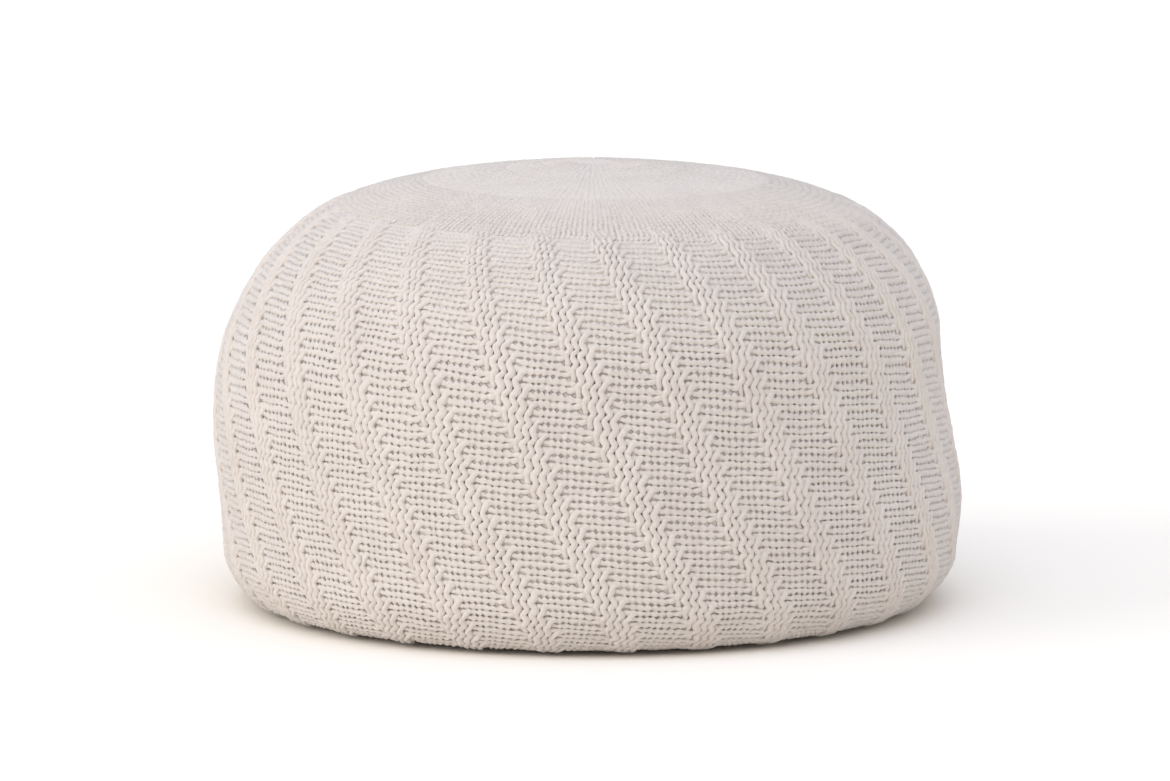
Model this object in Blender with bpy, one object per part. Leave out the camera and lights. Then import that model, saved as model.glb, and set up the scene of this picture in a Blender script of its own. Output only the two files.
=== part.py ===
"""A knitted pouf: a thick cotton cover, knitted in the round in one piece, tight over a firm filling.

The pouf is one filled solid. Its outline is turned about the Z axis, leans a little to one side and the
other as a soft thing does, and rests on a flat base at z = 0. Raised ribs run down its side on a slant,
with sunk panels of cross-wise knitting between them. All sizes are in metres. The front looks along -Y,
with +X at its right.
"""

import math

import bmesh
import bpy
import numpy as np

NAME = "knitted_pouf"

# The outline from the middle of the crown, down the side, to the edge of the flat base.
# Columns: radius, height, sideways lean of the whole ring (+ is to the front view's right).
OUTLINE = (
    (0.0000, 0.3255, 0.0040),
    (0.0890, 0.3177, 0.0035),
    (0.1463, 0.3085, 0.0032),
    (0.1963, 0.2930, 0.0028),
    (0.2250, 0.2715, 0.0024),
    (0.2433, 0.2500, 0.0015),
    (0.2605, 0.2120, -0.0021),
    (0.2668, 0.1800, -0.0054),
    (0.2726, 0.1300, -0.0036),
    (0.2743, 0.0850, 0.0015),
    (0.2723, 0.0550, 0.0026),
    (0.2688, 0.0300, 0.0018),
    (0.2492, 0.0045, 0.0004),
    (0.2240, 0.0000, 0.0000),
)

# The knitting. A wale is one upright column of stitches.
RIBS = 28
WALES_PER_REPEAT = 11.0  # one rib and the panel beside it
RIBS_START = 0.214  # distance from the middle of the crown, along the surface, to the first ribs
RIB_RISE = 0.0026  # how far the ribs stand out from the panels
FADE_LENGTH = 0.016  # the ribs grow to their full rise, and die away at the base, over this length

# How the ribs wander round the pouf on their way down: the turn at which the first repeat begins, and how
# far the left side, at its widest, is pulled further round to the left than an even spacing would give.
# Columns: distance from the middle of the crown along the surface, turn in degrees (+ is to the right),
# pull in degrees.
RIB_PATH = (
    (0.2140, -83.0, 4.2),
    (0.2345, -81.5, 4.2),
    (0.2551, -79.6, 4.2),
    (0.2756, -77.5, 4.2),
    (0.3064, -74.0, 4.2),
    (0.3405, -70.6, 3.0),
    (0.3831, -67.3, 0.4),
    (0.4246, -64.2, 0.0),
    (0.4649, -60.0, 0.0),
    (0.4851, -57.4, 0.0),
    (0.5053, -55.6, 0.0),
    (0.5485, -54.1, 0.0),
)

# Where the points of one repeat stand. Columns: place in wales, share of the rib's rise.
REPEAT = (
    (0.0, 0.0),
    (3.2, 0.12),
    (6.1, 0.0),
    (6.9, 1.0),
    (9.7, 1.0),
)

CROWN_ROWS = 6
SIDE_ROWS = 20


def empty_the_scene():
    for thing in list(bpy.data.objects):
        bpy.data.objects.remove(thing, do_unlink=True)


def smooth_line(points, samples_per_span=24):
    """A Catmull-Rom curve through the rows of a table, sampled closely. Nothing dips below the floor."""
    points = np.array(points, dtype=float)
    across_the_crown = points[1] * (-1, 1, 1)  # so that the crown is level at its middle
    in_from_the_rim = points[-1] - (0.03, 0, 0)  # so that the side runs out level on the floor
    padded = np.vstack([across_the_crown, points, in_from_the_rim])
    gaps = np.sqrt(np.linalg.norm(np.diff(padded[:, :2], axis=0), axis=1))
    knots = np.concatenate([[0.0], np.cumsum(gaps)])
    samples = []
    for i in range(1, len(padded) - 2):
        p0, p1, p2, p3 = padded[i - 1 : i + 3]
        t0, t1, t2, t3 = knots[i - 1 : i + 3]
        for t in np.linspace(t1, t2, samples_per_span, endpoint=False):
            a1 = (t1 - t) / (t1 - t0) * p0 + (t - t0) / (t1 - t0) * p1
            a2 = (t2 - t) / (t2 - t1) * p1 + (t - t1) / (t2 - t1) * p2
            a3 = (t3 - t) / (t3 - t2) * p2 + (t - t2) / (t3 - t2) * p3
            b1 = (t2 - t) / (t2 - t0) * a1 + (t - t0) / (t2 - t0) * a2
            b2 = (t3 - t) / (t3 - t1) * a2 + (t - t1) / (t3 - t1) * a3
            samples.append((t2 - t) / (t2 - t1) * b1 + (t - t1) / (t2 - t1) * b2)
    samples.append(points[-1])
    line = np.array(samples)
    line[:, 1] = np.maximum(line[:, 1], 0.0)
    return line


class Outline:
    """The outline by its length along the surface, from the middle of the crown."""

    def __init__(self, table):
        line = smooth_line(table)
        steps = np.linalg.norm(np.diff(line[:, :2], axis=0), axis=1)
        self.along = np.concatenate([[0.0], np.cumsum(steps)])
        self.line = line
        self.length = float(self.along[-1])

    def at(self, distance):
        """Radius, height and lean at a distance along the outline."""
        return [float(np.interp(distance, self.along, self.line[:, k])) for k in range(3)]

    def outward(self, distance, step=0.002):
        """The outward direction there, as its parts along the radius and the height."""
        r0, z0, _ = self.at(distance - step)
        r1, z1, _ = self.at(distance + step)
        size = math.hypot(r1 - r0, z1 - z0)
        return (z0 - z1) / size, (r1 - r0) / size


def row_distances(outline):
    """The rows of points: closer together down the side than over the crown."""
    crown = np.linspace(0.0, RIBS_START, CROWN_ROWS + 1)[:-1]
    side = np.linspace(RIBS_START, outline.length, SIDE_ROWS + 1)
    return np.concatenate([crown, side])


def turn_outline(outline):
    """Spin the outline about Z. Each point remembers how far along the outline it stands."""
    bm = bmesh.new()
    along = bm.verts.layers.float.new("along")
    ring = []
    for distance in row_distances(outline):
        radius, height, _ = outline.at(distance)
        vert = bm.verts.new((0.0, -radius, height))
        vert[along] = distance
        ring.append(vert)
    edges = [bm.edges.new(pair) for pair in zip(ring, ring[1:])]
    bmesh.ops.spin(
        bm,
        geom=ring + edges,
        cent=(0, 0, 0),
        axis=(0, 0, 1),
        angle=math.tau,
        steps=RIBS * len(REPEAT),
        use_merge=True,
    )
    bmesh.ops.remove_doubles(bm, verts=bm.verts, dist=1e-6)
    rim = [edge for edge in bm.edges if edge.is_boundary]
    bmesh.ops.contextual_create(bm, geom=rim)
    return bm, along


def rib_turn(distance, even_turn):
    """The turn, in radians, of a place that stands even_turn past the start of the first repeat."""
    distances, turns, pulls = zip(*RIB_PATH)
    turn = even_turn + math.radians(float(np.interp(distance, distances, turns)))
    leftward = min(math.sin(turn), 0.0)
    return turn - math.radians(float(np.interp(distance, distances, pulls))) * leftward * leftward


def rib_rise(distance, outline):
    """Full height of the ribs at this distance: none on the crown and none on the flat base."""
    from_top = (distance - RIBS_START) / FADE_LENGTH
    from_base = (outline.length - distance) / FADE_LENGTH
    share = min(max(from_top, 0.0), max(from_base, 0.0), 1.0)
    return RIB_RISE * share * share * (3 - 2 * share)


def knit_side(bm, along, outline):
    """Move each point to its wale, and sink the panels so that the ribs stand out."""
    columns = RIBS * len(REPEAT)
    wales = RIBS * WALES_PER_REPEAT
    for vert in bm.verts:
        distance = vert[along]
        radius, height, lean = outline.at(distance)
        angle = math.atan2(vert.co.x, -vert.co.y) % math.tau
        column = round(angle / math.tau * columns) % columns
        repeat, place = divmod(column, len(REPEAT))
        wale, share = REPEAT[place]
        wale += repeat * WALES_PER_REPEAT
        turn = rib_turn(distance, wale / wales * math.tau)
        out_radius, out_height = outline.outward(distance)
        sink = rib_rise(distance, outline) * (1.0 - share)
        radius -= sink * out_radius
        height = max(height - sink * out_height, 0.0)
        vert.co = (radius * math.sin(turn) + lean, -radius * math.cos(turn), height)


def stand_on_origin(mesh):
    """Centre the solid over the origin, with its flat base at z = 0."""
    points = np.array([vert.co for vert in mesh.vertices])
    low, high = points.min(axis=0), points.max(axis=0)
    shift = (-(low[0] + high[0]) / 2, -(low[1] + high[1]) / 2, -low[2])
    for vert in mesh.vertices:
        vert.co = [place + move for place, move in zip(vert.co, shift)]


def cotton_knit():
    """Undyed cotton yarn: a warm cream, quite matte."""
    material = bpy.data.materials.new("cotton_knit")
    material.use_nodes = True
    shader = material.node_tree.nodes["Principled BSDF"]
    shader.inputs["Base Color"].default_value = (0.745, 0.658, 0.584, 1.0)
    shader.inputs["Roughness"].default_value = 0.92
    shader.inputs["Metallic"].default_value = 0.0
    return material


def build_pouf():
    outline = Outline(OUTLINE)
    bm, along = turn_outline(outline)
    knit_side(bm, along, outline)
    bmesh.ops.recalc_face_normals(bm, faces=bm.faces)
    mesh = bpy.data.meshes.new(NAME)
    bm.to_mesh(mesh)
    bm.free()
    stand_on_origin(mesh)
    mesh.materials.append(cotton_knit())
    mesh.shade_smooth()
    return bpy.data.objects.new(NAME, mesh)


def main():
    empty_the_scene()
    parts = bpy.data.collections.new("knitted_pouf_parts")
    bpy.context.scene.collection.children.link(parts)
    pouf = build_pouf()
    parts.objects.link(pouf)
    triangles = sum(len(face.vertices) - 2 for face in pouf.data.polygons)
    print(f"{NAME}: {[round(side, 4) for side in pouf.dimensions]} m, {triangles} triangles")


main()
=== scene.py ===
# %% [markdown]
# # A knitted pouf, stitch by stitch
# The object is a round floor cushion with a thick cotton cover. The cover is knitted in the round in one
# piece and pulled tight over a firm filling. Its crown is plain knitting. Its side has 28 ribs that run down
# on a slant, and between two ribs lies a sunk panel of cross-wise purl ridges.
#
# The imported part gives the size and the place. This file adds what the eye sees: the yarn itself. There are
# more than ten thousand stitches, so they are never placed by hand. One stitch of each kind is shaped from a
# short table, Geometry Nodes lay the copies out on a flat chart, as a knitting chart has them, and one more
# node group wraps the flat chart round the pouf.

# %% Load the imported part
import math

import bmesh
import bpy
import numpy as np
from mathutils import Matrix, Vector


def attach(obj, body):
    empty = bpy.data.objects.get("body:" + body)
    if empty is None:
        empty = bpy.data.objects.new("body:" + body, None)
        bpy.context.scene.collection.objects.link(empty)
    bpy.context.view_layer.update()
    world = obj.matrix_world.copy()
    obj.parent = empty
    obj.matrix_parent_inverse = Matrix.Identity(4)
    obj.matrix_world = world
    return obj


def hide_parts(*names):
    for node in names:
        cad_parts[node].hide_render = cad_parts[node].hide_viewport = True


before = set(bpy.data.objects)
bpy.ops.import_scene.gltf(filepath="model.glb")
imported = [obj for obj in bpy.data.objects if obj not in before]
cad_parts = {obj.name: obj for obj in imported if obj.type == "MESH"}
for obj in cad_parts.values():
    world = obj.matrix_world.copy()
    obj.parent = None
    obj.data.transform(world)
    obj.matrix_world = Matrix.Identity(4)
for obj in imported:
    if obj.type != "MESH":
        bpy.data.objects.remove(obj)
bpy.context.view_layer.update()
NODE = "knitted_pouf"

# %% [markdown]
# ## The camera
# The photograph was taken from a good distance, a little above the pouf, with a long lens: the rim looks
# almost flat and the crown shows as a thin cap. A long lens from far away gives the same flattening. The
# camera looks at a point near the middle of the pouf, so the framing needs no lens shift.

# %% Camera
PHOTO_WIDTH = 1170
FOCAL_IN_PIXELS = 7458.5
SENSOR_MM = 36.0
CAMERA_DISTANCE = 5.5
CAMERA_ELEVATION = math.radians(8.3)
LOOK_AT = Vector((-0.0018, 0.0, 0.155))

back = Vector((0.0, -math.cos(CAMERA_ELEVATION), math.sin(CAMERA_ELEVATION)))
camera = bpy.data.objects.new("camera", bpy.data.cameras.new("camera"))
camera.location = LOOK_AT + back * CAMERA_DISTANCE
camera.rotation_euler = back.to_track_quat("Z", "Y").to_euler()
camera.data.sensor_width = SENSOR_MM
camera.data.lens = SENSOR_MM * FOCAL_IN_PIXELS / PHOTO_WIDTH
camera.data.clip_end = 100.0
bpy.context.scene.collection.objects.link(camera)
bpy.context.scene.camera = camera
print("lens in mm:", round(camera.data.lens, 1))

# %% [markdown]
# ## Colours and nodes
# Colours are easy to name in sRGB hex, as a paint program shows them, but a shader adds and multiplies light,
# so it wants linear numbers. One function turns the first into the second. A second small function adds a
# node to any tree, sets its settings and joins its inputs. Every material and every Geometry Nodes tree below
# is built with it.

# %% Two small helpers
def linear(hex_colour):
    """sRGB hex to linear red, green, blue and alpha."""
    shares = [int(hex_colour[i : i + 2], 16) / 255 for i in (1, 3, 5)]
    return (*[s / 12.92 if s <= 0.04045 else ((s + 0.055) / 1.055) ** 2.4 for s in shares], 1.0)


def add(tree, kind, inputs=None, **settings):
    """Add a node. inputs holds values or other nodes' sockets, by the input's name or number."""
    node = tree.nodes.new(kind)
    for name, value in settings.items():
        setattr(node, name, value)
    for key, value in (inputs or {}).items():
        if isinstance(value, bpy.types.NodeSocket):
            tree.links.new(value, node.inputs[key])
        else:
            node.inputs[key].default_value = value
    return node


print("cotton cream in linear light:", [round(v, 3) for v in linear("#DFD5CC")])

# %% [markdown]
# ## Light and floor
# A studio for pale textiles is nearly white all round: light comes from everywhere and shadows are soft. A
# bright world does most of the work. A wide lamp at the left makes that side brighter, so that each stitch
# has a light and a dark side. A second one, a touch warm, shines on the front from above. A third hangs
# overhead and is cooler, as daylight from a skylight is: it takes the warmth out of the crown. The floor is a
# plain disc, nearly white.

# %% Light and floor
WORLD_STRENGTH = 0.73
LAMPS = (  # name, colour, strength, spread in degrees, the direction it shines from
    ("key_light", "#FFFFFF", 0.98, 40.0, (-0.90, -0.38, 0.36)),
    ("front_light", "#FFF9F1", 0.68, 50.0, (-0.12, -0.55, 0.85)),
    ("overhead_light", "#A0C4FF", 0.63, 60.0, (0.12, -0.25, 1.00)),
)
FLOOR_RADIUS = 14.0

scene = bpy.context.scene
scene.view_settings.view_transform = "Standard"
scene.world = bpy.data.worlds.new("white_studio")
scene.world.use_nodes = True
scene.world.node_tree.nodes["Background"].inputs["Color"].default_value = linear("#FFFFFF")
scene.world.node_tree.nodes["Background"].inputs["Strength"].default_value = WORLD_STRENGTH

for name, colour, strength, spread, shines_from in LAMPS:
    lamp = bpy.data.objects.new(name, bpy.data.lights.new(name, "SUN"))
    lamp.data.color = linear(colour)[:3]
    lamp.data.energy = strength
    lamp.data.angle = math.radians(spread)
    lamp.rotation_euler = Vector(shines_from).to_track_quat("Z", "Y").to_euler()
    scene.collection.objects.link(lamp)

floor_mesh = bpy.data.meshes.new("floor")
bm = bmesh.new()
bmesh.ops.create_circle(bm, cap_ends=True, segments=64, radius=FLOOR_RADIUS)
bm.to_mesh(floor_mesh)
bm.free()
floor = bpy.data.objects.new("floor", floor_mesh)
scene.collection.objects.link(floor)
paper = bpy.data.materials.new("pale_studio_floor")
paper.use_nodes = True
paper.node_tree.nodes["Principled BSDF"].inputs["Base Color"].default_value = linear("#FFFAF2")
paper.node_tree.nodes["Principled BSDF"].inputs["Roughness"].default_value = 0.9
floor_mesh.materials.append(paper)
print("lamps:", [lamp[0] for lamp in LAMPS], "and a floor of radius", FLOOR_RADIUS)

# %% [markdown]
# ## The outline of the pouf
# A filled round cushion is a turned shape: one outline, spun about the upright axis. The table is the part's
# own outline. A smooth curve goes through its rows, and every ring may lean a little sideways, because a soft
# thing never stands quite true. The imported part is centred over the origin, so the outline is centred in the
# same way.

# %% The outline as a smooth line
OUTLINE = (  # radius, height, sideways lean of the ring
    (0.0000, 0.3255, 0.0040),
    (0.0890, 0.3177, 0.0035),
    (0.1463, 0.3085, 0.0032),
    (0.1963, 0.2930, 0.0028),
    (0.2250, 0.2715, 0.0024),
    (0.2433, 0.2500, 0.0015),
    (0.2605, 0.2120, -0.0021),
    (0.2668, 0.1800, -0.0054),
    (0.2726, 0.1300, -0.0036),
    (0.2743, 0.0850, 0.0015),
    (0.2723, 0.0550, 0.0026),
    (0.2688, 0.0300, 0.0018),
    (0.2492, 0.0045, 0.0004),
    (0.2240, 0.0000, 0.0000),
    (0.1900, 0.0000, 0.0000),
)


def smooth_line(points, samples_per_span=24):
    """A Catmull-Rom curve through the rows of a table, sampled closely."""
    points = np.array(points, dtype=float)
    across_the_crown = points[1] * (-1, 1, 1)
    in_from_the_rim = points[-1] - (0.03, 0, 0)
    padded = np.vstack([across_the_crown, points, in_from_the_rim])
    gaps = np.sqrt(np.linalg.norm(np.diff(padded[:, :2], axis=0), axis=1))
    knots = np.concatenate([[0.0], np.cumsum(gaps)])
    samples = []
    for i in range(1, len(padded) - 2):
        p0, p1, p2, p3 = padded[i - 1 : i + 3]
        t0, t1, t2, t3 = knots[i - 1 : i + 3]
        for t in np.linspace(t1, t2, samples_per_span, endpoint=False):
            a1 = (t1 - t) / (t1 - t0) * p0 + (t - t0) / (t1 - t0) * p1
            a2 = (t2 - t) / (t2 - t1) * p1 + (t - t1) / (t2 - t1) * p2
            a3 = (t3 - t) / (t3 - t2) * p2 + (t - t2) / (t3 - t2) * p3
            b1 = (t2 - t) / (t2 - t0) * a1 + (t - t0) / (t2 - t0) * a2
            b2 = (t3 - t) / (t3 - t1) * a2 + (t - t1) / (t3 - t1) * a3
            samples.append((t2 - t) / (t2 - t1) * b1 + (t - t1) / (t2 - t1) * b2)
    line = np.array(samples + [points[-1]])
    line[:, 1] = np.maximum(line[:, 1], 0.0)
    return line


LINE = smooth_line(OUTLINE)
LINE[:, 2] -= (np.max(LINE[:, 0] + LINE[:, 2]) - np.max(LINE[:, 0] - LINE[:, 2])) / 2
ALONG = np.concatenate([[0.0], np.cumsum(np.linalg.norm(np.diff(LINE[:, :2], axis=0), axis=1))])
NEAR = 0.003  # the outline's direction is read between two points this far to either side, in metres


def outline_at(distance):
    """Radius, height and lean at a distance along the outline, and the parts of its outward direction."""
    radius, height, lean = (np.interp(distance, ALONG, LINE[:, k]) for k in range(3))
    run, rise = (
        np.interp(distance + NEAR, ALONG, LINE[:, k]) - np.interp(distance - NEAR, ALONG, LINE[:, k])
        for k in (0, 1)
    )
    size = np.hypot(run, rise)
    return radius, height, lean, -rise / size, run / size


print("length of the outline:", round(float(ALONG[-1]), 4), "m")

# %% [markdown]
# ## The guide: which course lies where
# A course is one row of stitches round the pouf, and a wale is one upright column of them. The guide is a
# ladder with a rung at each half course. Each rung knows the radius, height and lean of the outline there,
# the direction that faces out, how far the ribs have travelled round the pouf and how far the left side's are
# pulled beyond that, how much the courses tilt and sag, and how strongly the stitches stand out. It is a
# plain mesh line with these numbers as attributes, so that Geometry Nodes can look them up.

# %% The guide ladder
REPEATS = 28  # ribs round the pouf
WALES_PER_REPEAT = 11  # one rib and the panel beside it
WALES = REPEATS * WALES_PER_REPEAT
WALE_TURN = math.tau / WALES
STITCH = 0.0056  # one wale on the widest ring, in metres

# Columns: course, distance along the outline in metres, turn of repeat 0 and pull in degrees, tilt and sag
# in courses, relief. The pull draws the ribs of the left side further round. The tilt lowers the right and
# lifts the left. The sag lowers both sides, and the back twice as much.
COURSES = (
    (-40, 0.0060, -105.8, 0.0, 0.0, 0.0, 0.00),
    (-30, 0.0590, -100.0, 0.0, 0.0, 0.0, 0.00),
    (-14, 0.1426, -90.7, 3.0, 0.5, 0.0, 0.00),
    (-10, 0.1630, -88.3, 3.5, 1.2, 0.1, 0.00),
    (-7, 0.1783, -86.6, 3.9, 1.7, 0.2, 0.40),
    (-4, 0.1936, -84.7, 4.1, 2.3, 0.4, 0.80),
    (0, 0.2140, -83.0, 4.2, 3.0, 0.7, 0.95),
    (4, 0.2345, -81.5, 4.2, 3.7, 1.0, 1.00),
    (8, 0.2551, -79.6, 4.2, 4.3, 1.4, 1.00),
    (12, 0.2756, -77.5, 4.2, 4.9, 1.8, 1.00),
    (18, 0.3064, -74.0, 4.2, 5.3, 2.3, 1.00),
    (24, 0.3405, -70.6, 3.0, 5.0, 2.5, 1.00),
    (32, 0.3831, -67.3, 0.4, 4.6, 2.4, 1.00),
    (40, 0.4246, -64.2, 0.0, 4.7, 2.2, 1.00),
    (44, 0.4447, -62.3, 0.0, 4.7, 2.1, 1.00),
    (48, 0.4649, -60.0, 0.0, 4.6, 2.0, 1.00),
    (52, 0.4851, -57.4, 0.0, 4.5, 1.9, 1.00),
    (56, 0.5053, -55.6, 0.0, 4.5, 1.8, 0.95),
    (60, 0.5255, -54.8, 0.0, 4.5, 1.8, 0.80),
    (66, 0.5560, -53.9, 0.0, 4.5, 1.8, 0.60),
)
FIRST_COURSE, LAST_COURSE = COURSES[0][0], COURSES[-1][0]
RUNG_STEP = 0.5  # courses from rung to rung


def guide_ladder():
    """A line of points along X, one for each half course, with what the wrapping has to know."""
    table = np.array(COURSES, dtype=float)
    rungs = np.arange(FIRST_COURSE, LAST_COURSE + RUNG_STEP / 2, RUNG_STEP)
    distance, turn, pull, tilt, sag, relief = (
        np.interp(rungs, table[:, 0], table[:, k]) for k in range(1, 7)
    )
    radius, height, lean, out_radius, out_height = outline_at(distance)
    unused = np.zeros(len(rungs))
    numbers = {
        "place": (radius, lean, height),
        "outward": (out_radius, relief, out_height),
        "travel": (np.radians(turn), tilt, sag),
        "pulled": (np.radians(-pull), unused, unused),
    }
    ladder = bpy.data.meshes.new("course_guide")
    points = [(float(course - FIRST_COURSE), 0.0, 0.0) for course in rungs]
    ladder.from_pydata(points, [(i, i + 1) for i in range(len(points) - 1)], [])
    for name, columns in numbers.items():
        rows = np.stack(columns, axis=1).astype(np.float32)
        ladder.attributes.new(name, "FLOAT_VECTOR", "POINT").data.foreach_set("vector", rows.ravel())
    return bpy.data.objects.new("course_guide", ladder)


guide = guide_ladder()
print("rungs on the guide:", len(guide.data.vertices))

# %% [markdown]
# ## Wrapping the flat chart round the pouf
# On the flat chart a point has three numbers: its wale (X), its course (Y, counted downwards) and its height
# above the cover (Z). Blender's Curve and Shrinkwrap modifiers could bend such a chart, but neither follows
# ribs that wander, so a tree of nodes does it. The real cover went on a little askew: its courses tilt and
# sag. Both trees below need to know where a course lies because of that, so it is worked out in one helper. A
# second helper makes an empty tree with named inputs.

# %% Helpers for the two trees
STRAIGHTEN = -0.5  # wales a course: takes out the pattern's own slant, which the guide's turn already has


def geometry_tree(name, **inputs):
    """An empty Geometry Nodes tree, and the sockets of its inputs. inputs: names, by kind of socket."""
    tree = bpy.data.node_groups.new(name, "GeometryNodeTree")
    for kind, names in {"Geometry": ("Geometry",), **inputs}.items():
        for socket in names:
            tree.interface.new_socket(socket, in_out="INPUT", socket_type="NodeSocket" + kind)
    tree.interface.new_socket("Geometry", in_out="OUTPUT", socket_type="NodeSocketGeometry")
    return tree, add(tree, "NodeGroupInput").outputs


def askew(tree, spot, wale_turn, start, tilt, sag):
    """A spot's wale without the slant, the sine and cosine of its turn, and the course it really lies on."""
    upright = add(
        tree, "ShaderNodeMath", {0: spot["Y"], 1: STRAIGHTEN, 2: spot["X"]}, operation="MULTIPLY_ADD"
    ).outputs[0]
    turn = add(
        tree, "ShaderNodeMath", {0: upright, 1: wale_turn, 2: start}, operation="MULTIPLY_ADD"
    ).outputs[0]
    sine = add(tree, "ShaderNodeMath", {0: turn}, operation="SINE").outputs[0]
    cosine = add(tree, "ShaderNodeMath", {0: turn}, operation="COSINE").outputs[0]
    tilted = add(
        tree, "ShaderNodeMath", {0: sine, 1: tilt, 2: spot["Y"]}, operation="MULTIPLY_ADD"
    ).outputs[0]
    aside = add(tree, "ShaderNodeMath", {0: 1.0, 1: cosine}, operation="SUBTRACT").outputs[0]
    sagged = add(
        tree, "ShaderNodeMath", {0: aside, 1: sag, 2: tilted}, operation="MULTIPLY_ADD"
    ).outputs[0]
    return upright, sine, cosine, sagged


print("the chart is straightened by", -STRAIGHTEN, "wales a course")

# %% [markdown]
# ## The wrapping group
# The group looks up the guide at a point's course and bends the chart round the axis. The left side of the
# real cover is also pulled round a little. A fixed noise pushes the yarn about, because no hand or machine
# lays every loop alike. Every stitch below goes through this one group, so the stitches always meet.

# %% The wrapping node group
WRAP_NUMBERS = ("First Course", "Wale Turn", "Stitch", "Sink", "Waver", "Drift", "Floor Gap")
DRUM_RADIUS = 49.0  # in wales, for a chart of 308 wales round
WAVER_SCALE, DRIFT_SCALE = 0.9, 0.11  # noise cells a wale: about one a stitch, and one in nine stitches
WAVER_RISE = 0.5  # the share of the waver that lifts and lowers the yarn


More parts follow.
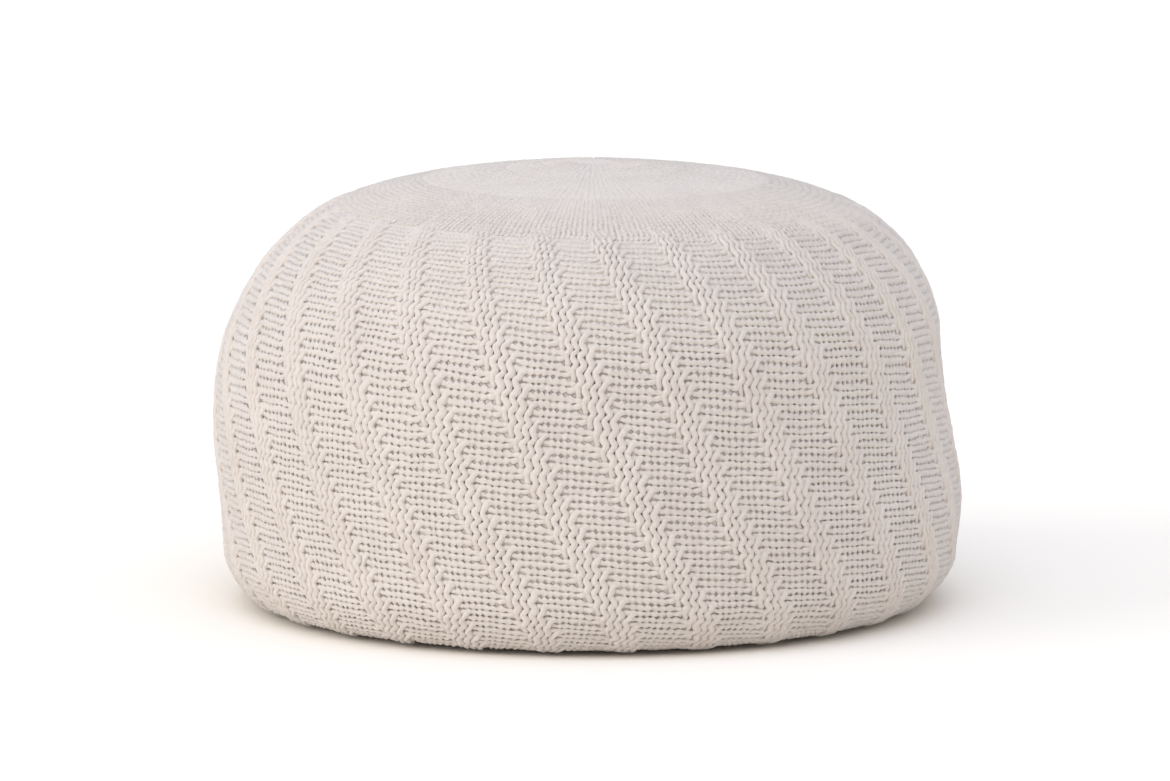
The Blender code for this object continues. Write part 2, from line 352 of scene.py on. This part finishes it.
def wrapping_group():
    """The node group that bends the flat chart round the pouf."""
    tree, given = geometry_tree("wrap_round_the_pouf", Object=("Guide",), Float=WRAP_NUMBERS)
    ladder = add(tree, "GeometryNodeObjectInfo", {"Object": given["Guide"]}).outputs["Geometry"]
    curve = add(tree, "GeometryNodeMeshToCurve", {"Mesh": ladder}).outputs["Curve"]
    position = add(tree, "GeometryNodeInputPosition").outputs[0]
    chart = add(tree, "ShaderNodeSeparateXYZ", {0: position}).outputs

    def looked_up(name, course):
        """The three numbers that the guide holds under this name at this course."""
        rung = add(
            tree, "ShaderNodeMath", {0: course, 1: given["First Course"]}, operation="SUBTRACT"
        ).outputs[0]
        held = add(tree, "GeometryNodeInputNamedAttribute", {"Name": name}, data_type="FLOAT_VECTOR")
        sample = add(
            tree,
            "GeometryNodeSampleCurve",
            {"Curves": curve, "Value": held.outputs[0], "Length": rung},
            mode="LENGTH",
            data_type="FLOAT_VECTOR",
        )
        return add(tree, "ShaderNodeSeparateXYZ", {0: sample.outputs["Value"]}).outputs

    travel = looked_up("travel", chart["Y"])
    upright, sine, cosine, sagged = askew(
        tree, chart, given["Wale Turn"], travel["X"], travel["Y"], travel["Z"]
    )

    # The noise is read on a round drum as wide as the chart, so that it has no seam.
    ring = add(tree, "ShaderNodeCombineXYZ", {"X": sine, "Y": cosine}).outputs[0]
    drum = add(tree, "ShaderNodeVectorMath", {0: ring, "Scale": DRUM_RADIUS}, operation="SCALE").outputs[0]
    height = add(tree, "ShaderNodeCombineXYZ", {"Z": chart["Y"]}).outputs[0]
    on_drum = add(tree, "ShaderNodeVectorMath", {0: drum, 1: height}, operation="ADD").outputs[0]

    def pushes(scale, amount):
        """How far the noise moves a point: along the course, along the wale, and outwards."""
        noise = add(tree, "ShaderNodeTexNoise", {"Vector": on_drum, "Scale": scale, "Detail": 1.0})
        centred = add(
            tree,
            "ShaderNodeVectorMath",
            {0: noise.outputs["Color"], 1: (0.5, 0.5, 0.5)},
            operation="SUBTRACT",
        ).outputs[0]
        scaled = add(tree, "ShaderNodeVectorMath", {0: centred, "Scale": amount}, operation="SCALE")
        return add(tree, "ShaderNodeSeparateXYZ", {0: scaled.outputs[0]}).outputs

    waver = pushes(WAVER_SCALE, given["Waver"])
    drift = pushes(DRIFT_SCALE, given["Drift"])
    push_wale, push_course = (
        add(tree, "ShaderNodeMath", {0: waver[axis], 1: drift[axis]}, operation="ADD").outputs[0]
        for axis in "XY"
    )
    course = add(tree, "ShaderNodeMath", {0: sagged, 1: push_course}, operation="ADD").outputs[0]
    wale = add(tree, "ShaderNodeMath", {0: upright, 1: push_wale}, operation="ADD").outputs[0]
    place, outward, travelled = (looked_up(name, course) for name in ("place", "outward", "travel"))
    turn = add(
        tree, "ShaderNodeMath", {0: wale, 1: given["Wale Turn"], 2: travelled["X"]}, operation="MULTIPLY_ADD"
    ).outputs[0]

    # The left side's ribs are drawn further round, most of all at the far left.
    sine = add(tree, "ShaderNodeMath", {0: turn}, operation="SINE").outputs[0]
    leftward = add(tree, "ShaderNodeMath", {0: sine, 1: 0.0}, operation="MINIMUM").outputs[0]
    leftward = add(tree, "ShaderNodeMath", {0: leftward, 1: leftward}, operation="MULTIPLY").outputs[0]
    pull = looked_up("pulled", course)["X"]
    turn = add(tree, "ShaderNodeMath", {0: leftward, 1: pull, 2: turn}, operation="MULTIPLY_ADD").outputs[0]

    # Where the relief fades, a stitch sinks into the ground of the cover.
    lifted = add(
        tree, "ShaderNodeMath", {0: waver["Z"], 1: WAVER_RISE, 2: chart["Z"]}, operation="MULTIPLY_ADD"
    ).outputs[0]
    faded = add(tree, "ShaderNodeMath", {0: 1.0, 1: outward["Y"]}, operation="SUBTRACT").outputs[0]
    sunk = add(tree, "ShaderNodeMath", {0: faded, 1: given["Sink"]}, operation="MULTIPLY").outputs[0]
    lifted = add(tree, "ShaderNodeMath", {0: lifted, 1: sunk}, operation="SUBTRACT").outputs[0]
    rise = add(tree, "ShaderNodeMath", {0: lifted, 1: given["Stitch"]}, operation="MULTIPLY").outputs[0]

    # Out along the outline's outward direction, then round the axis by the turn.
    radius = add(
        tree, "ShaderNodeMath", {0: rise, 1: outward["X"], 2: place["X"]}, operation="MULTIPLY_ADD"
    ).outputs[0]
    high = add(
        tree, "ShaderNodeMath", {0: rise, 1: outward["Z"], 2: place["Z"]}, operation="MULTIPLY_ADD"
    ).outputs[0]
    high = add(tree, "ShaderNodeMath", {0: high, 1: given["Floor Gap"]}, operation="MAXIMUM").outputs[0]
    sine = add(tree, "ShaderNodeMath", {0: turn}, operation="SINE").outputs[0]
    cosine = add(tree, "ShaderNodeMath", {0: turn}, operation="COSINE").outputs[0]
    across = add(
        tree, "ShaderNodeMath", {0: radius, 1: sine, 2: place["Y"]}, operation="MULTIPLY_ADD"
    ).outputs[0]
    deep = add(tree, "ShaderNodeMath", {0: radius, 1: cosine}, operation="MULTIPLY").outputs[0]
    deep = add(tree, "ShaderNodeMath", {0: deep, 1: -1.0}, operation="MULTIPLY").outputs[0]
    bent = add(tree, "ShaderNodeCombineXYZ", {"X": across, "Y": deep, "Z": high}).outputs[0]
    moved = add(tree, "GeometryNodeSetPosition", {"Geometry": given["Geometry"], "Position": bent}).outputs[0]
    # The chart counts courses downwards, which turns every face inside out, so they are turned back.
    faced = add(tree, "GeometryNodeFlipFaces", {0: moved}).outputs[0]
    add(tree, "NodeGroupOutput", {"Geometry": faced})
    return tree


wrap = wrapping_group()
print("nodes in the wrapping group:", len(wrap.nodes))

# %% [markdown]
# ## Cotton yarn
# The yarn is a soft, undyed cotton of several plies. It is matte, with a faint bloom where loose fibres catch
# light at a glancing angle, so a little sheen is added to a rough surface. Plies and fuzz are too fine for
# geometry, so one fine noise stands in for both. It goes into the bump and, with a broad faint noise, into
# the tone.

# %% Material: cotton yarn
PATCHES = 28.0  # noise cells a metre: broad, faint patches of about 36 mm
PATCH_WEIGHT = 0.4  # beside the fuzz's 1
FUZZ = 480.0  # noise cells a metre: flecks of about 2 mm, coarser than real fuzz so that they show
FUZZ_DEPTH = 0.0011  # how far the fuzz seems to stand out, in metres


def cotton_yarn(name, colour, shade):
    """Matte cotton: warm cream, a little uneven in tone, with fuzz in the bump."""
    material = bpy.data.materials.new(name)
    material.use_nodes = True
    tree = material.node_tree
    shader = tree.nodes["Principled BSDF"]
    where = add(tree, "ShaderNodeTexCoord").outputs["Object"]
    tone = add(tree, "ShaderNodeTexNoise", {"Vector": where, "Scale": PATCHES, "Detail": 3.0}).outputs["Fac"]
    fuzz = add(
        tree, "ShaderNodeTexNoise", {"Vector": where, "Scale": FUZZ, "Detail": 4.0, "Roughness": 0.7}
    ).outputs["Fac"]
    both = add(
        tree, "ShaderNodeMath", {0: tone, 1: PATCH_WEIGHT, 2: fuzz}, operation="MULTIPLY_ADD"
    ).outputs[0]
    share = add(tree, "ShaderNodeMapRange", {"Value": both, "From Min": 0.5, "From Max": 0.9}).outputs[0]
    mixed = add(tree, "ShaderNodeMix", {0: share, 6: linear(shade), 7: linear(colour)}, data_type="RGBA")
    tree.links.new(mixed.outputs[2], shader.inputs["Base Color"])
    shader.inputs["Roughness"].default_value = 0.9
    shader.inputs["Sheen Weight"].default_value = 0.4
    shader.inputs["Sheen Roughness"].default_value = 0.5
    shader.inputs["Sheen Tint"].default_value = linear("#EEF3FF")
    bump = add(tree, "ShaderNodeBump", {"Height": fuzz, "Strength": 0.6, "Distance": FUZZ_DEPTH})
    tree.links.new(bump.outputs["Normal"], shader.inputs["Normal"])
    return material


yarn = cotton_yarn("undyed_cotton_yarn", "#DFD5CC", "#D1C6BC")
print("made", yarn.name)

# %% [markdown]
# ## The yarn in one repeat
# Every length of yarn is a closed tube that is round on top and flat underneath, where it beds into the
# cover. A table gives the places along it. A purl ridge lies across the panel. It is pinched between two
# wales, and the pinches of two neighbouring ridges leave the dark dots. A rib strand runs down over nine
# courses: it leaves the ridge above, weaves left and right by about a quarter of a wale, and tucks in under
# another ridge.

# %% Yarn paths as tables
UPPER_DOTS = (0.09, 0.92, 1.79, 2.67, 3.59, 4.53, 5.64)  # the wales where a ridge is pinched
LOWER_DOTS = (0.13, 1.00, 1.86, 2.73, 3.65, 4.56, 5.50)
UPPER_COURSES = (0.465, 0.545)  # the course at a swelling and at a dot
LOWER_COURSES = (1.475, 1.41)
PINCH = (-0.39, 0.32)  # top and half width at a dot
SWELL = (-0.21, 0.785)  # and midway between two dots

UPPER_LEFT_END = (  # wale, course, top, half width
    (-0.66, 0.34, -0.52, 0.32),
    (-0.32, 0.44, -0.32, 0.46),
)
UPPER_RIGHT_END = (
    (6.12, 0.54, -0.24, 0.48),
    (6.52, 0.66, -0.20, 0.46),
    (6.90, 0.86, -0.30, 0.42),
)
LOWER_LEFT_END = (
    (-0.85, 1.58, -0.52, 0.34),
    (-0.50, 1.53, -0.33, 0.44),
    (-0.16, 1.48, -0.27, 0.56),
)
LOWER_RIGHT_END = (
    (5.95, 1.42, -0.24, 0.50),
    (6.35, 1.26, -0.20, 0.46),
    (6.90, 1.06, -0.30, 0.42),
)

STRAND_TOP = (  # the strand bends out of the ridge above it
    (0.30, -0.56, -0.46, 0.30),
    (-0.10, -0.56, -0.30, 0.44),
    (-0.48, -0.44, -0.24, 0.50),
    (-0.76, -0.14, -0.17, 0.52),
    (-0.84, 0.20, -0.09, 0.54),
    (-0.99, 0.50, -0.03, 0.54),
    (-1.24, 0.80, -0.02, 0.54),
    (-1.25, 1.20, -0.02, 0.54),
)
STRAND_TAIL = (  # and tucks in under the ridges of the next panel
    (-1.10, 6.82, -0.14, 0.50),
    (-1.05, 7.30, -0.24, 0.44),
    (-0.80, 7.85, -0.33, 0.42),
    (-0.86, 8.45, -0.52, 0.34),
)
STRAND_WALES = (-0.79, -1.25)  # where it stands at even and at odd courses
STRAND_TOPS = (-0.02, 0.54)  # its top and half width there
STRAND_COURSES = range(2, 7)
STRAIGHT = 0.2  # it stands straight for this many courses to either side


def ridge_rows(left_end, dots, right_end, swell_course, pinch_course):
    """The rows of one ridge: left end, a pinch at each dot with a swelling between two dots, right end."""
    rows = list(left_end)
    for dot, following in zip(dots, [*dots[1:], None]):
        rows.append((dot, pinch_course, *PINCH))
        if following is not None:
            rows.append(((dot + following) / 2, swell_course, *SWELL))
    return rows + list(right_end)


def strand_rows():
    """The rows of one rib strand. It stands straight for a moment at each course and crosses over between."""
    rows = list(STRAND_TOP)
    for course in STRAND_COURSES:
        wale = STRAND_WALES[course % 2]
        rows += [(wale, course + step, *STRAND_TOPS) for step in (-STRAIGHT, STRAIGHT)]
    return rows + list(STRAND_TAIL)


upper = ridge_rows(UPPER_LEFT_END, UPPER_DOTS, UPPER_RIGHT_END, *UPPER_COURSES)
lower = ridge_rows(LOWER_LEFT_END, LOWER_DOTS, LOWER_RIGHT_END, *LOWER_COURSES)
strand = strand_rows()
print("rows of an upper ridge, a lower ridge and a strand:", len(upper), len(lower), len(strand))

# %% [markdown]
# ## From a table to a closed tube
# A curve with a bevel would make a tube too, but one as high as it is wide. The real yarn is pressed flat in
# some places and swells in others, so each row of a table gives a width and a height of its own, and a few
# points are set across the yarn there. Few points are enough, because the mesh is shaded smooth and the
# stitches are small.

# %% Tubes of yarn
RIDGE_BASE = -0.72  # the flat undersides of the yarn
STRAND_BASE = -0.69
SPLIT_ROW = 9  # a ridge is two lengths of yarn, and their ends lie inside each other at this row
TAIL = (0.30, -0.45, 0.36)  # how far an end runs on inside the other length, its top and its half width
ROUND = (0, 45, 90, 135, 180)  # the angles of the points across a tube, in degrees
SIMPLE = (0, 90, 180)


def ridge_lengths(ridge):
    """The left and the right length of a ridge, each with a tail that hides in the other."""
    wale, course, _, _ = ridge[SPLIT_ROW]
    step, top, half_width = TAIL
    left = [*ridge[: SPLIT_ROW + 1], (wale + step, course, top, half_width)]
    right = [(wale - step, course, top, half_width), *ridge[SPLIT_ROW:]]
    return left, right


def tube_rows(table, base, angles):
    """Points and faces of a closed tube along the table's rows: round on top and flat below."""
    rows = np.array(table, dtype=float)
    run = np.gradient(rows[:, :2], axis=0)
    run /= np.linalg.norm(run, axis=1)[:, None]
    beside = np.stack([-run[:, 1], run[:, 0]], axis=1)
    points = []
    for row, side in zip(rows, beside):
        for angle in np.radians(angles):
            x, y = row[:2] + side * math.cos(angle) * row[3]
            points.append((x, y, base + math.sin(angle) * (row[2] - base)))
    count = len(angles)
    faces = [tuple(range(count)), tuple(range(len(points) - count, len(points)))[::-1]]
    for i in range(len(rows) - 1):
        for j in range(count):
            a, b = i * count + j, i * count + (j + 1) % count
            faces.append((a, a + count, b + count, b))
    return points, faces


def yarn_shape(name, lengths, angles=ROUND):
    """One mesh of several closed tubes. lengths: table and base of each."""
    points, faces = [], []
    for table, base in lengths:
        more_points, more_faces = tube_rows(table, base, angles)
        faces += [tuple(i + len(points) for i in face) for face in more_faces]
        points += more_points
    mesh = bpy.data.meshes.new(name)
    mesh.from_pydata(points, [], faces)
    bm = bmesh.new()
    bm.from_mesh(mesh)
    bmesh.ops.recalc_face_normals(bm, faces=bm.faces)
    bm.to_mesh(mesh)
    bm.free()
    mesh.shade_smooth()
    print(name, "has", len(mesh.polygons), "faces")
    return bpy.data.objects.new(name, mesh)


ridge_pair = [(length, RIDGE_BASE) for ridge in (upper, lower) for length in ridge_lengths(ridge)]
purl_ridges = yarn_shape("purl_ridge_pair", ridge_pair)
rib_strand = yarn_shape("rib_strand", [(strand, STRAND_BASE)])

# %% [markdown]
# ## The tree that lays the yarn
# The pattern repeats after 11 wales and 2 courses, and moves one wale to the right each time. Array modifiers
# could repeat it like that, but they can't leave out the copies past the rim of the base. The tree makes one
# point for each such cell of the chart, drops the cells that would fall past the rim, puts the yarn on the
# rest, and turns the copies into real mesh before it wraps them.

# %% The laying tree
CHART_COUNTS = ("First Repeat", "Repeats", "First Pair", "Pairs")
CHART_NUMBERS = ("Wales per Repeat", "Wales per Pair", "Courses per Pair", "Last Course")
RIM_NUMBERS = ("Rim Tilt", "Rim Sag", "Rim Turn")


def laying_tree():
    """The tree that lays one yarn shape on the cells of the chart and wraps it."""
    tree, given = geometry_tree(
        "lay_yarn",
        Object=("Yarn Shape", "Guide"),
        Int=CHART_COUNTS,
        Float=(*CHART_NUMBERS, *RIM_NUMBERS, *WRAP_NUMBERS),
        Material=("Yarn",),
    )
    count = add(
        tree, "ShaderNodeMath", {0: given["Repeats"], 1: given["Pairs"]}, operation="MULTIPLY"
    ).outputs[0]
    points = add(tree, "GeometryNodePoints", {"Count": count}).outputs[0]
    index = add(tree, "GeometryNodeInputIndex").outputs[0]
    column = add(tree, "ShaderNodeMath", {0: index, 1: given["Repeats"]}, operation="MODULO").outputs[0]
    row = add(tree, "ShaderNodeMath", {0: index, 1: given["Repeats"]}, operation="DIVIDE").outputs[0]
    row = add(tree, "ShaderNodeMath", {0: row}, operation="FLOOR").outputs[0]
    repeat = add(tree, "ShaderNodeMath", {0: column, 1: given["First Repeat"]}, operation="ADD").outputs[0]
    pair = add(tree, "ShaderNodeMath", {0: row, 1: given["First Pair"]}, operation="ADD").outputs[0]
    shift = add(
        tree, "ShaderNodeMath", {0: pair, 1: given["Wales per Pair"]}, operation="MULTIPLY"
    ).outputs[0]
    wale = add(
        tree, "ShaderNodeMath", {0: repeat, 1: given["Wales per Repeat"], 2: shift}, operation="MULTIPLY_ADD"
    ).outputs[0]
    course = add(
        tree, "ShaderNodeMath", {0: pair, 1: given["Courses per Pair"]}, operation="MULTIPLY"
    ).outputs[0]
    corner = add(tree, "ShaderNodeCombineXYZ", {"X": wale, "Y": course}).outputs[0]
    cells = add(tree, "GeometryNodeSetPosition", {"Geometry": points, "Position": corner}).outputs[0]

    # Past the rim: the tilt and the sag of the courses lift or lower the pouf's last rows.
    position = add(tree, "GeometryNodeInputPosition").outputs[0]
    spot = add(tree, "ShaderNodeSeparateXYZ", {0: position}).outputs
    _, _, _, reach = askew(
        tree, spot, given["Wale Turn"], given["Rim Turn"], given["Rim Tilt"], given["Rim Sag"]
    )
    past = add(
        tree, "ShaderNodeMath", {0: reach, 1: given["Last Course"]}, operation="GREATER_THAN"
    ).outputs[0]
    kept = add(
        tree, "GeometryNodeDeleteGeometry", {"Geometry": cells, "Selection": past}, domain="POINT"
    ).outputs[0]

    shape = add(tree, "GeometryNodeObjectInfo", {"Object": given["Yarn Shape"]}).outputs["Geometry"]
    copies = add(tree, "GeometryNodeInstanceOnPoints", {"Points": kept, "Instance": shape}).outputs[0]
    real = add(tree, "GeometryNodeRealizeInstances", {"Geometry": copies}).outputs[0]
    bending = add(tree, "GeometryNodeGroup", node_tree=wrap)
    tree.links.new(real, bending.inputs["Geometry"])
    for name in ("Guide", *WRAP_NUMBERS):
        tree.links.new(given[name], bending.inputs[name])
    smooth = add(tree, "GeometryNodeSetShadeSmooth", {"Geometry": bending.outputs[0]}).outputs[0]
    done = add(tree, "GeometryNodeSetMaterial", {"Geometry": smooth, "Material": given["Yarn"]}).outputs[0]
    add(tree, "NodeGroupOutput", {"Geometry": done})
    return tree


lay = laying_tree()
print("nodes in the laying tree:", len(lay.nodes))

# %% [markdown]
# ## Laying the knitting
# Each call below gives the tree its numbers, lets Blender work it out, and keeps the result as a plain mesh.
# The purl ridges are made in three pieces round the pouf and the rib strands in two, so that no piece grows
# too heavy.

# %% Values for the laying tree, and how it is run
WRAP_VALUES = {
    "First Course": float(FIRST_COURSE),
    "Wale Turn": WALE_TURN,
    "Stitch": STITCH,
    "Sink": 0.50,
    "Waver": 0.62,
    "Drift": 0.90,
    "Floor Gap": 0.0004,
}
SIDE_CHART = {"Wales per Repeat": float(WALES_PER_REPEAT), "Wales per Pair": 1.0, "Courses per Pair": 2.0}
RIM = {"Rim Tilt": COURSES[-1][4], "Rim Sag": COURSES[-1][5], "Rim Turn": math.radians(COURSES[-1][2])}
NO_RIM = 1000.0  # a last course so far down that no cell is dropped


def as_one_mesh(name, values):
    """Run the laying tree with these values and return its result as a plain mesh."""
    start = bpy.data.objects.new(name + "_chart", bpy.data.meshes.new(name + "_chart"))
    scene.collection.objects.link(start)
    modifier = start.modifiers.new("lay", "NODES")
    modifier.node_group = lay
    for socket in lay.interface.items_tree:
        if socket.in_out == "INPUT" and socket.name in values:
            modifier[socket.identifier] = values[socket.name]
    graph = bpy.context.evaluated_depsgraph_get()
    graph.update()
    mesh = bpy.data.meshes.new_from_object(start.evaluated_get(graph))
    bpy.data.objects.remove(start)
    mesh.name = name
    return mesh


def on_the_pouf(name, mesh):
    """Put a finished mesh into the scene."""
    piece = bpy.data.objects.new(name, mesh)
    scene.collection.objects.link(piece)
    print(f"{name}: {sum(len(face.vertices) - 2 for face in mesh.polygons)} triangles")
    return piece


def laid(name, shape, chart, first_repeat, repeats, first_pair, pairs, last_course=NO_RIM, **changes):
    """One piece of laid yarn."""
    values = {
        "Yarn Shape": shape,
        "Guide": guide,
        "First Repeat": first_repeat,
        "Repeats": repeats,
        "First Pair": first_pair,
        "Pairs": pairs,
        "Last Course": last_course,
        "Yarn": yarn,
        **chart,
        **RIM,
        **WRAP_VALUES,
        **changes,
    }
    return as_one_mesh(name, values)


print("values of the side's chart:", SIDE_CHART)

# %% Lay the yarn of the side
# Columns: name, shape, first pair of courses, pairs, last course, and each piece's side, first repeat and
# number of repeats.
SIDE_YARN = (
    ("purl_ridges", purl_ridges, -2, 37, 63.0, (("front", 0, 10), ("right", 10, 9), ("left", 19, 9))),
    ("rib_strands", rib_strand, -6, 41, 60.0, (("front", 0, 14), ("back", 14, 14))),
)

pieces = []
for kind, shape, first_pair, pairs, last_course, sides in SIDE_YARN:
    for side, first_repeat, repeats in sides:
        name = f"{kind}_{side}"
        mesh = laid(name, shape, SIDE_CHART, first_repeat, repeats, first_pair, pairs, last_course)
        pieces.append(on_the_pouf(name, mesh))

# %% [markdown]
# ## The plain knit crown
# Over the crown the cover is stockinette: every stitch shows as a V of two legs, and the legs of one column
# run in a line to the middle. Towards the middle the maker knits stitches together, so there are fewer and
# fewer columns. Each zone of the crown has its own stitch, as wide as its number of columns leaves room for.

# %% Lay the stitches of the crown
CROWN_ZONES = (  # columns of stitches round the crown, first course, number of courses
    (154, -17, 14),
    (77, -29, 12),
    (44, -34, 5),
    (22, -38, 4),
)
LEG = (  # share of the leg's width, course, top, half width as a share of the leg's width
    (0.24, -0.20, -0.46, 0.34),
    (0.34, 0.12, -0.30, 0.57),
    (0.64, 0.82, -0.30, 0.62),
    (0.74, 1.14, -0.46, 0.38),
)
LEG_BASE = -0.62
# The negative sink lifts the legs to the surface on the crown. They go under where the ribs rise.
CROWN_VALUES = {"Sink": -0.30, "Waver": 0.55}


def knit_stitch(width):
    """A V: two legs that lean towards each other on their way down."""
    right = [(width * (1 - share), course, top, width * half) for share, course, top, half in LEG]
    left = [(width * (share - 1), course, top, width * half) for share, course, top, half in LEG]
    return yarn_shape(f"knit_stitch_{width:.1f}", [(left, LEG_BASE), (right, LEG_BASE)], SIMPLE)


crown = bpy.data.meshes.new("crown_stitches")
bm = bmesh.new()
for columns, first_course, courses in CROWN_ZONES:
    width = WALES / columns / 2
    crown_chart = {"Wales per Repeat": 2 * width, "Wales per Pair": 0.0, "Courses per Pair": 1.0}
    stitch = knit_stitch(width)
    zone = laid("crown_zone", stitch, crown_chart, 0, columns, first_course, courses, **CROWN_VALUES)
    bm.from_mesh(zone)
bm.to_mesh(crown)
bm.free()
crown.materials.append(yarn)
crown.shade_smooth()
pieces.append(on_the_pouf("crown_stitches", crown))

# %% [markdown]
# ## The filled cover under the stitches
# Behind the stitches lies the cover's own ground, tight over the filling. On the crown it comes up to the
# surface and is what one sees. Down the side it lies deeper than the stitches. It is one closed form, turned
# from the outline.

# %% The ground of the cover
GROUND_DEPTHS = (  # distance along the outline, depth under the surface there
    (0.000, 0.0004),
    (0.110, 0.0004),
    (0.145, 0.0006),
    (0.165, 0.0010),
    (0.180, 0.0019),
    (0.194, 0.0026),
    (0.215, 0.0032),
    (0.250, 0.0033),
    (0.310, 0.0039),
)
GROUND_COLUMNS = 168
GROUND_ROWS = 48


def ground():
    """The turned body, pushed in where stitches cover it, and closed at the crown and the base."""
    bm = bmesh.new()
    turns = [column / GROUND_COLUMNS * math.tau for column in range(GROUND_COLUMNS)]
    rings = []
    for distance in np.linspace(0.0, ALONG[-1], GROUND_ROWS)[1:]:
        radius, height, lean, out_radius, out_height = (float(value) for value in outline_at(distance))
        depth = float(np.interp(distance, *zip(*GROUND_DEPTHS)))
        radius -= depth * out_radius
        height = max(height - depth * out_height, 0.0)
        places = [(radius * math.sin(turn) + lean, -radius * math.cos(turn), height) for turn in turns]
        rings.append([bm.verts.new(place) for place in places])
    top = bm.verts.new((float(LINE[0, 2]), 0.0, float(LINE[0, 1]) - GROUND_DEPTHS[0][1]))
    for i in range(GROUND_COLUMNS):
        j = (i + 1) % GROUND_COLUMNS
        bm.faces.new((top, rings[0][i], rings[0][j]))
        for upper, lower in zip(rings, rings[1:]):
            bm.faces.new((upper[i], lower[i], lower[j], upper[j]))
    bm.faces.new(rings[-1])
    bmesh.ops.recalc_face_normals(bm, faces=bm.faces)
    mesh = bpy.data.meshes.new("knitted_cover")
    bm.to_mesh(mesh)
    bm.free()
    mesh.shade_smooth()
    mesh.materials.append(yarn)
    return on_the_pouf("knitted_cover", mesh)


cover = ground()

# %% [markdown]
# ## Handing the pieces over
# Every piece rides on the part's one body, and together they stand in for the imported solid, which stays
# behind, hidden.

# %% Hand over and finish
for piece in [cover, *pieces]:
    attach(piece, "root")
    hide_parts(NODE)

bpy.context.view_layer.update()
